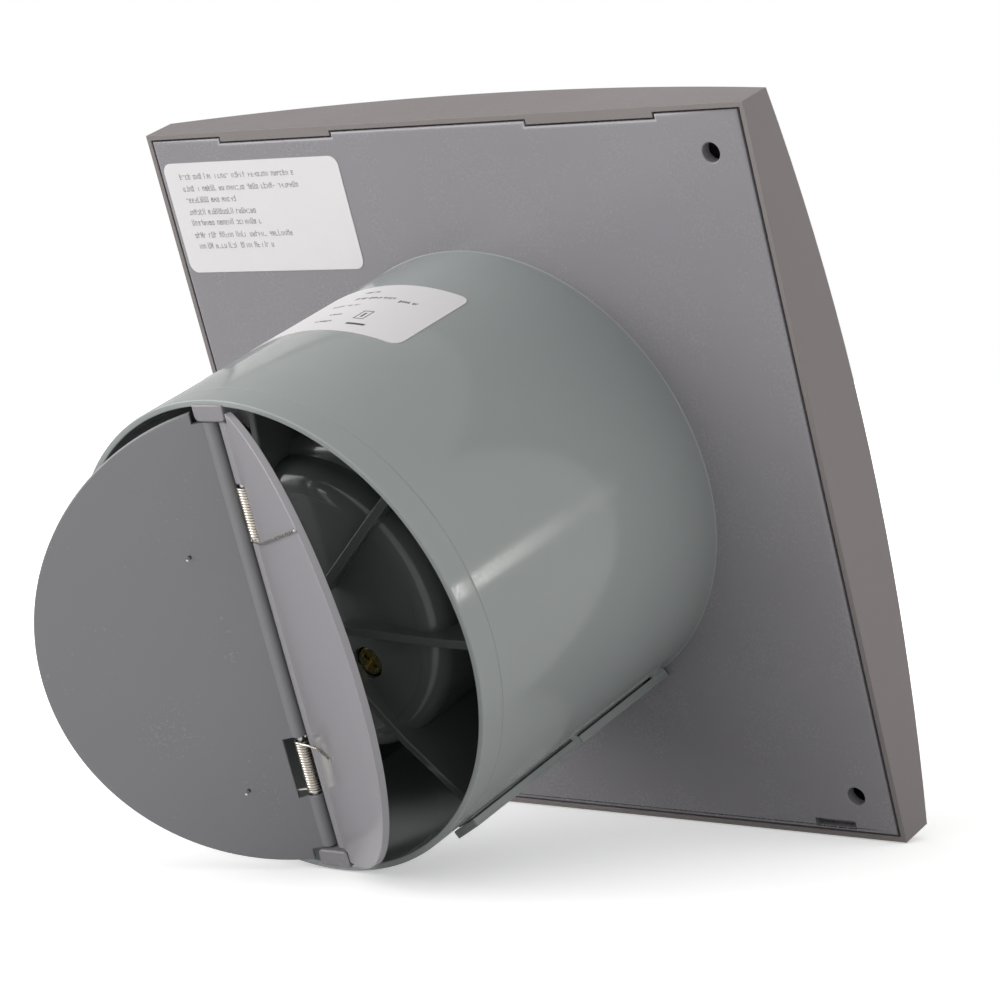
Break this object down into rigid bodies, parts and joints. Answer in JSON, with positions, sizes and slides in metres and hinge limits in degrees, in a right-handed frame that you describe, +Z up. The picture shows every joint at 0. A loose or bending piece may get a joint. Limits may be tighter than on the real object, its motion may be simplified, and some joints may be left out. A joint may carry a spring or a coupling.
{
  "type": "bathroom extractor fan",
  "caption": "Axial bathroom extractor fan with a domed square louvred front cover, a round duct spigot, a caged motor and impeller, and sprung half-disc back-draught flaps.",
  "frame": {"origin": "centre of the base plate's wall face, on the fan axis", "axes": "+Y from the room into the duct along the fan axis, +Z up, +X to the right seen from the room"},
  "size_m": [0.156, 0.1283, 0.156],
  "materials": {
    "body_plastic": "moulded grey ABS, satin gloss",
    "cover_plastic": "moulded warm grey metallic-tint ABS, satin gloss",
    "flap_plastic": "moulded grey ABS, glossy",
    "impeller_plastic": "moulded grey polypropylene",
    "natural_plastic": "natural nylon",
    "bright_steel": "bright zinc-plated steel",
    "lamination_steel": "stacked electrical steel",
    "fibre": "thrust washer fibre",
    "copper": "bare copper",
    "copper_winding": "enamelled copper wire",
    "zinc_alloy": "die-cast bracket",
    "bronze": "sintered bronze",
    "yellow_screw": "yellow passivated screw",
    "spring_wire": "bronze-tinted spring wire",
    "terminal_brass": "machined brass",
    "brown_pvc": "brown insulation",
    "blue_pvc": "blue insulation",
    "label_stock": "self-adhesive film"
  },
  "bodies": {
    "casing": {"housing": "body_plastic", "channel_cover": "body_plastic", "stator_stack": "lamination_steel", "shading_rings": "copper", "coil_bobbin": "natural_plastic", "coil_winding": "copper_winding", "front_bracket": "zinc_alloy", "rear_bracket": "zinc_alloy", "front_bearing": "bronze", "rear_bearing": "bronze", "motor_screws": "bright_steel", "motor_mount_screws": "yellow_screw", "valve_pin_left": "bright_steel", "valve_pin_right": "bright_steel", "valve_spring_upper": "spring_wire", "valve_spring_lower": "spring_wire", "terminal_block": "natural_plastic", "terminal_contacts": "terminal_brass", "terminal_screws": "bright_steel", "cable_clamp": "natural_plastic", "cable_clamp_screws": "bright_steel", "live_lead": "brown_pvc", "neutral_lead": "blue_pvc", "rear_label": "label_stock", "spigot_label": "label_stock"},
    "cover": {"front_cover": "cover_plastic"},
    "rotor": {"impeller": "impeller_plastic", "shaft_clip": "bright_steel", "motor_shaft": "bright_steel", "rotor_core": "lamination_steel", "thrust_washers": "fibre"},
    "flap_left": {"valve_flap_left": "flap_plastic"},
    "flap_right": {"valve_flap_right": "flap_plastic"}
  },
  "joints": [
    {"name": "impeller_spin", "type": "hinge", "parent": "casing", "child": "rotor", "pos_m": [0, 0, 0], "axis": [0, 1, 0], "continuous": true},
    {"name": "flap_left_swing", "type": "hinge", "parent": "casing", "child": "flap_left", "pos_m": [0.0019, 0.0769, 0], "axis": [0, 0, 1], "range_deg": [-35.5, 46.5], "stiffness_Nm_per_rad": 0.0008, "deforming": ["valve_spring_lower"]},
    {"name": "flap_right_swing", "type": "hinge", "parent": "casing", "child": "flap_right", "pos_m": [-0.0019, 0.0769, 0], "axis": [0, 0, -1], "range_deg": [-31, 51], "stiffness_Nm_per_rad": 0.0008, "deforming": ["valve_spring_upper"]},
    {"name": "cover_removal", "type": "slide", "parent": "casing", "child": "cover", "axis": [0, -1, 0], "range_m": [0, 0.06]}
  ]
}
